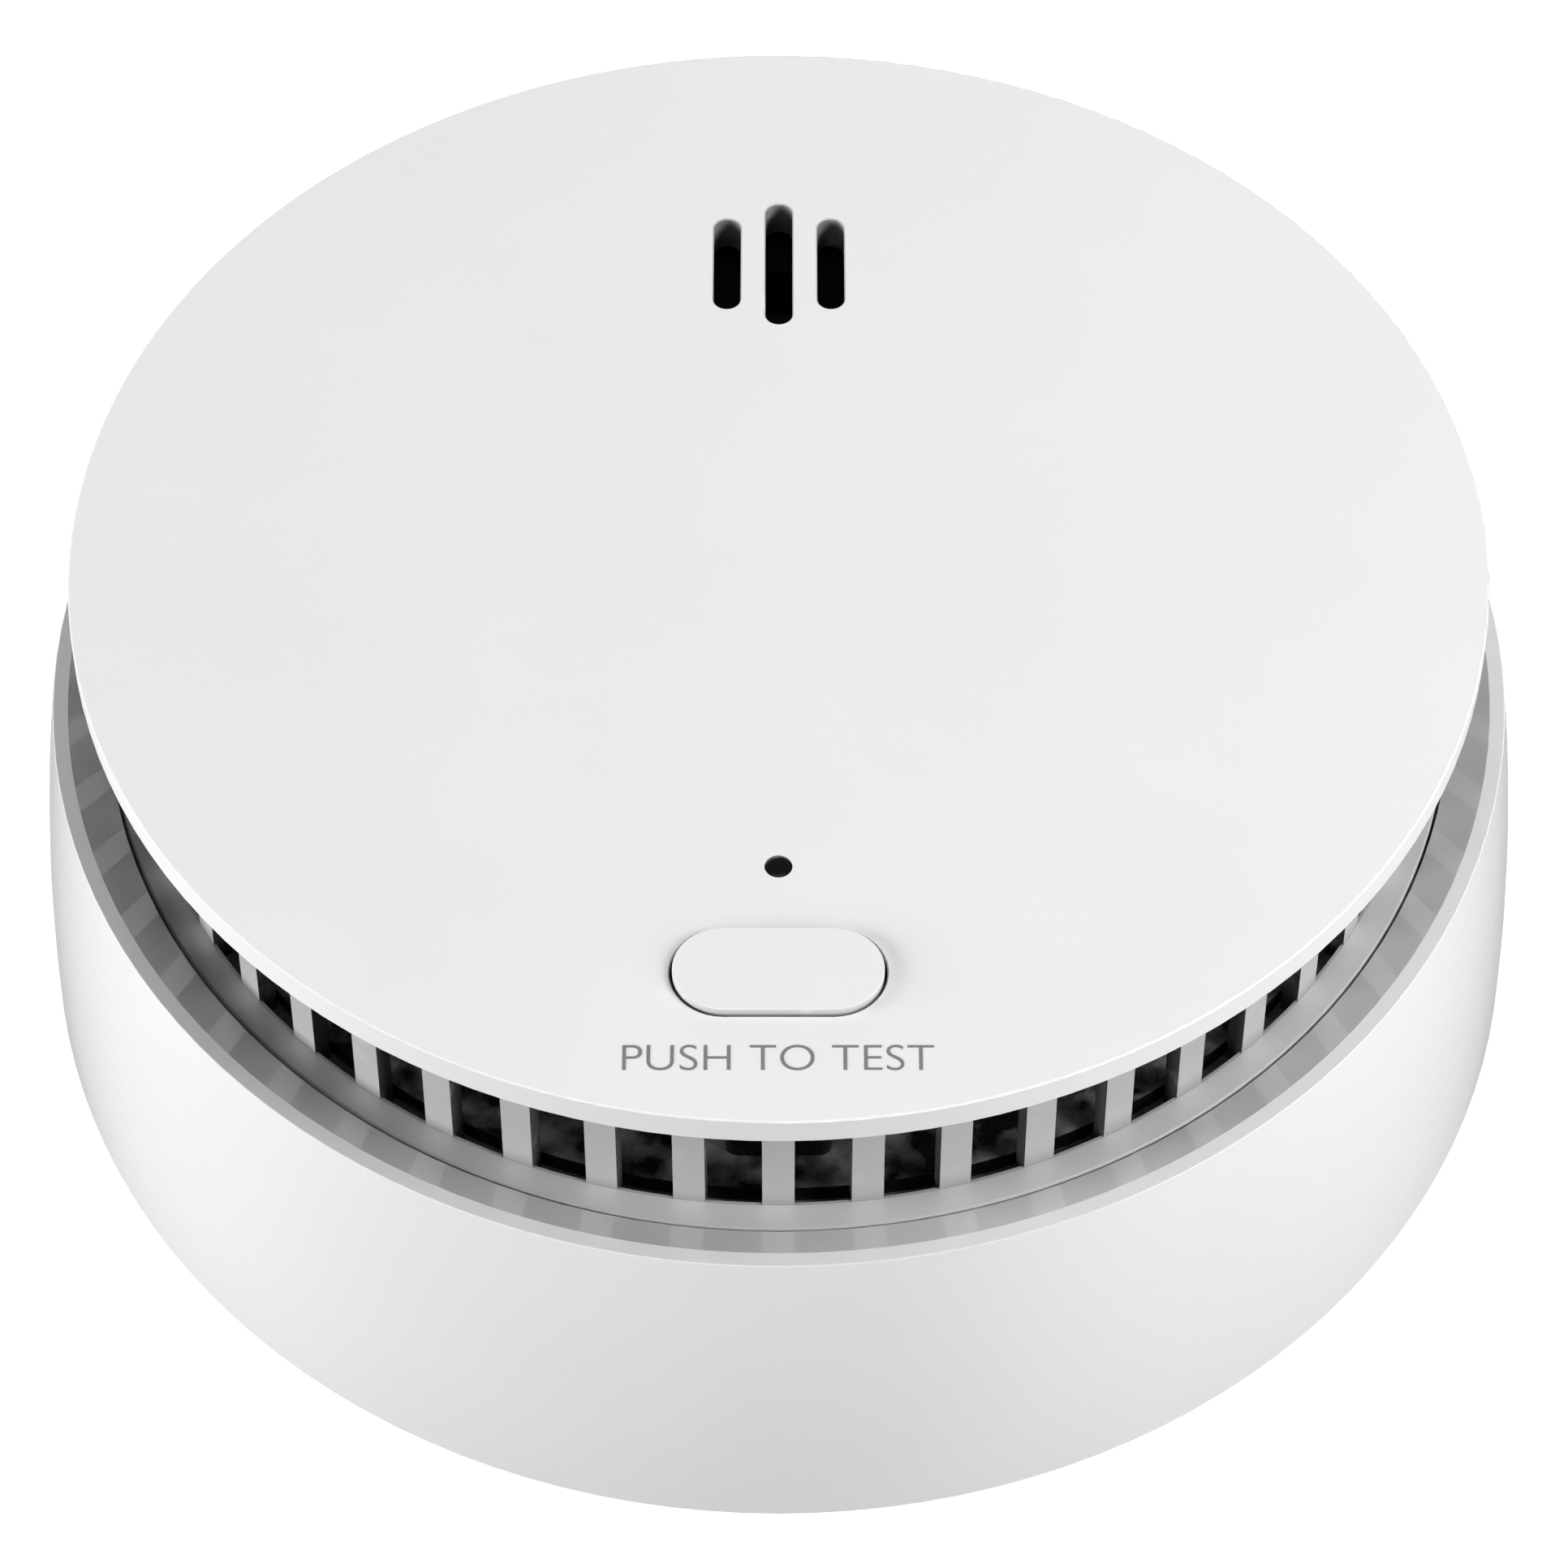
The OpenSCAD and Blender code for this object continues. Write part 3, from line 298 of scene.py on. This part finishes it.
def makeInk():  # grey ink, slightly mottled by the pad that printed it
    material, tree, place, shader = startMaterial("padPrintInk")
    fleck = addNode(tree, "ShaderNodeTexNoise",
                    {"Scale": perMm(legend["fleckSize"]), "Detail": noiseDetail["grain"]}, {"Vector": place})
    tint = addNode(tree, "ShaderNodeMix",
                   {"data_type": "RGBA", mixColourA: hexToLinear(legend["colour"]),
                    mixColourB: hexToLinear(legend["fleck"])},
                   {mixFactor: fleck.outputs["Fac"]})
    tree.links.new(tint.outputs[mixColourOut], shader.inputs["Base Color"])
    shader.inputs["Roughness"].default_value = legend["rough"]
    return material


def makeLegend():
    letters = bpy.data.curves.new("legendLetters", "FONT")
    letters.body = legend["words"]
    letters.align_x = "CENTER"
    letters.align_y = "BOTTOM_BASELINE"
    letters.offset = legend["thin"]
    letters.extrude = legend["draftDepth"]  # scaled to the print's real depth below
    holder = bpy.data.objects.new("legendLetters", letters)
    scene.collection.objects.link(holder)
    bpy.context.view_layer.update()
    mesh = bpy.data.meshes.new_from_object(holder.evaluated_get(bpy.context.evaluated_depsgraph_get()))
    bpy.data.objects.remove(holder)
    low = Vector([min(v.co[i] for v in mesh.vertices) for i in range(3)])
    high = Vector([max(v.co[i] for v in mesh.vertices) for i in range(3)])
    size = high - low
    scale = Vector((legend["width"] / size.x, legend["height"] / size.y,
                    (legend["proud"] + legend["sunk"]) / size.z)) * mm
    mesh.transform(Matrix.Diagonal((*scale, 1)) @ Matrix.Translation(-(low + high) / 2))
    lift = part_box("front_cover")[1].z + (legend["proud"] - legend["sunk"]) / 2 * mm
    mesh.transform(Matrix.Translation((0, legend["middle"] * mm, lift)))
    mesh.materials.clear()
    mesh.materials.append(makeInk())
    piece = bpy.data.objects.new("legend", mesh)
    scene.collection.objects.link(piece)
    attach(piece, "detector")


makeLegend()
print("legend in place")

# Floor and background, in metres but for the drop and the paper's fibres, which are in millimetres.
# To the camera the floor is white, keeps a share of the object's shadow, and fades to plain white far away;
# to the light that it sends back to the object it is a dull grey, so that the wall isn't lit from below
stage = {"paper": "#F2F2F2", "bounce": "#4A4A4A", "rough": 0.9, "fibre": 2.0, "fibreDetail": 3.0,
         "fibreBump": 0.05, "fibreDepth": 0.05, "glowShare": 0.8, "glow": 1.2, "fade": (0.2, 0.8),
         "mirror": 0.15, "reach": 6.0, "drop": 0.05}


def whiteRays(tree):  # the camera sees a white background; gloss sees it dimmer, which keeps outlines dark
    rays = addNode(tree, "ShaderNodeLightPath").outputs
    bent = addNode(tree, "ShaderNodeMath", {"operation": "MAXIMUM"},
                   {0: rays["Is Glossy Ray"], 1: rays["Is Transmission Ray"]})
    dim = addNode(tree, "ShaderNodeMath", {"operation": "MULTIPLY", 1: stage["mirror"]}, {0: bent.outputs[0]})
    seen = addNode(tree, "ShaderNodeMath", {"operation": "MAXIMUM"},
                   {0: rays["Is Camera Ray"], 1: dim.outputs[0]})
    return seen.outputs[0]


def makePaper():  # matt, with a faint relief of fibres, drawn coarse enough to show
    material, tree, place, shader = startMaterial("whitePaper")
    fibre = addNode(tree, "ShaderNodeTexNoise",
                    {"Scale": perMm(stage["fibre"]), "Detail": stage["fibreDetail"]}, {"Vector": place})
    relief = addNode(tree, "ShaderNodeBump",
                     {"Strength": stage["fibreBump"], "Distance": stage["fibreDepth"] * mm},
                     {"Height": fibre.outputs["Fac"]})
    seen = whiteRays(tree)
    paper = addNode(tree, "ShaderNodeMix",
                    {"data_type": "RGBA", mixColourA: hexToLinear(stage["bounce"]),
                     mixColourB: hexToLinear(stage["paper"])},
                    {mixFactor: seen})
    tree.links.new(paper.outputs[mixColourOut], shader.inputs["Base Color"])
    tree.links.new(relief.outputs["Normal"], shader.inputs["Normal"])
    shader.inputs["Roughness"].default_value = stage["rough"]
    shader.inputs["Specular IOR Level"].default_value = 0.0
    near, away = stage["fade"]
    far = addNode(tree, "ShaderNodeVectorMath", {"operation": "LENGTH"}, {0: place})
    sweep = addNode(tree, "ShaderNodeMapRange",
                    {"From Min": near, "From Max": away, "To Min": stage["glowShare"]},
                    {"Value": far.outputs["Value"]})
    share = addNode(tree, "ShaderNodeMath", {"operation": "MULTIPLY"}, {0: seen, 1: sweep.outputs["Result"]})
    glow = addNode(tree, "ShaderNodeEmission", {"Color": white, "Strength": stage["glow"]})
    both = addNode(tree, "ShaderNodeMixShader", {},
                   {0: share.outputs[0], 1: shader.outputs["BSDF"], 2: glow.outputs[0]})
    tree.links.new(both.outputs[0], tree.nodes["Material Output"].inputs["Surface"])
    return material


bm = bmesh.new()
bmesh.ops.create_grid(bm, x_segments=1, y_segments=1, size=stage["reach"])
bmesh.ops.translate(bm, verts=bm.verts, vec=(0, 0, -stage["drop"] * mm))  # clear of the plate's own face
floorMesh = bpy.data.meshes.new("floor")
bm.to_mesh(floorMesh)
bm.free()
floorMesh.materials.append(makePaper())
floor = bpy.data.objects.new("floor", floorMesh)
scene.collection.objects.link(floor)

studio = bpy.data.worlds.new("studio")
scene.world = studio
studio.use_nodes = True
tree = studio.node_tree
tree.nodes.clear()
sky = addNode(tree, "ShaderNodeBackground", {"Color": white}, {"Strength": whiteRays(tree)})
addNode(tree, "ShaderNodeOutputWorld", {}, {"Surface": sky.outputs[0]})
print("floor and background set")

# Each lamp: compass bearing from the face's middle (0 is the button's side, 90 the right), height angle,
# width and height of its soft box, watts, and whether gloss mirrors it, which is so for the weak one overhead
lampRig = {"aim": (0, 0, 0.03), "away": 0.9}
lamps = {
    "leftStrip": {"bearing": -82, "height": 11, "size": (0.34, 0.28), "watts": 7.8, "glint": False},
    "leftFrontStrip": {"bearing": -45, "height": 14, "size": (0.3, 0.3), "watts": 2.9, "glint": False},
    "rightCard": {"bearing": 52, "height": 5, "size": (0.3, 0.3), "watts": 3.8, "glint": False},
    "rightStrip": {"bearing": 66, "height": 30, "size": (0.36, 0.38), "watts": 5.4, "glint": False},
    "rightBox": {"bearing": 115, "height": 45, "size": (0.65, 0.36), "watts": 3.2, "glint": False},
    "backBox": {"bearing": 180, "height": 72, "size": (0.3, 0.3), "watts": 0.35, "glint": True},
    "backStrip": {"bearing": 180, "height": 10, "size": (0.5, 0.25), "watts": 2.0, "glint": False},
}
for name, lamp in lamps.items():
    light = bpy.data.lights.new(name, "AREA")
    light.shape = "RECTANGLE"
    light.size, light.size_y = lamp["size"]
    light.energy = lamp["watts"]
    bearing, height = math.radians(lamp["bearing"]), math.radians(lamp["height"])
    across = math.cos(height)
    outward = Vector((math.sin(bearing) * across, -math.cos(bearing) * across, math.sin(height)))
    holder = bpy.data.objects.new(name, light)
    holder.location = Vector(lampRig["aim"]) + outward * lampRig["away"]
    holder.rotation_mode = "QUATERNION"
    holder.rotation_quaternion = outward.to_track_quat("Z", "Y")
    holder.visible_glossy = lamp["glint"]
    scene.collection.objects.link(holder)
print("lamps hung:", len(lamps))

# Camera as fitted to the circles of the photo
shot = {"place": (0.000414, -0.303836, 0.387220), "aim": (0.000414, 0.0, 0.016009), "lens": 134.97,
        "sensor": 36, "clip": (0.01, 20)}
camera = bpy.data.objects.new("camera", bpy.data.cameras.new("camera"))
camera.data.lens = shot["lens"]
camera.data.sensor_width = shot["sensor"]
camera.data.clip_start, camera.data.clip_end = shot["clip"]
camera.location = shot["place"]
camera.rotation_mode = "QUATERNION"
camera.rotation_quaternion = (Vector(shot["aim"]) - Vector(shot["place"])).to_track_quat("-Z", "Y")
scene.collection.objects.link(camera)
scene.camera = camera
scene.view_settings.view_transform = "Standard"
print("camera set")
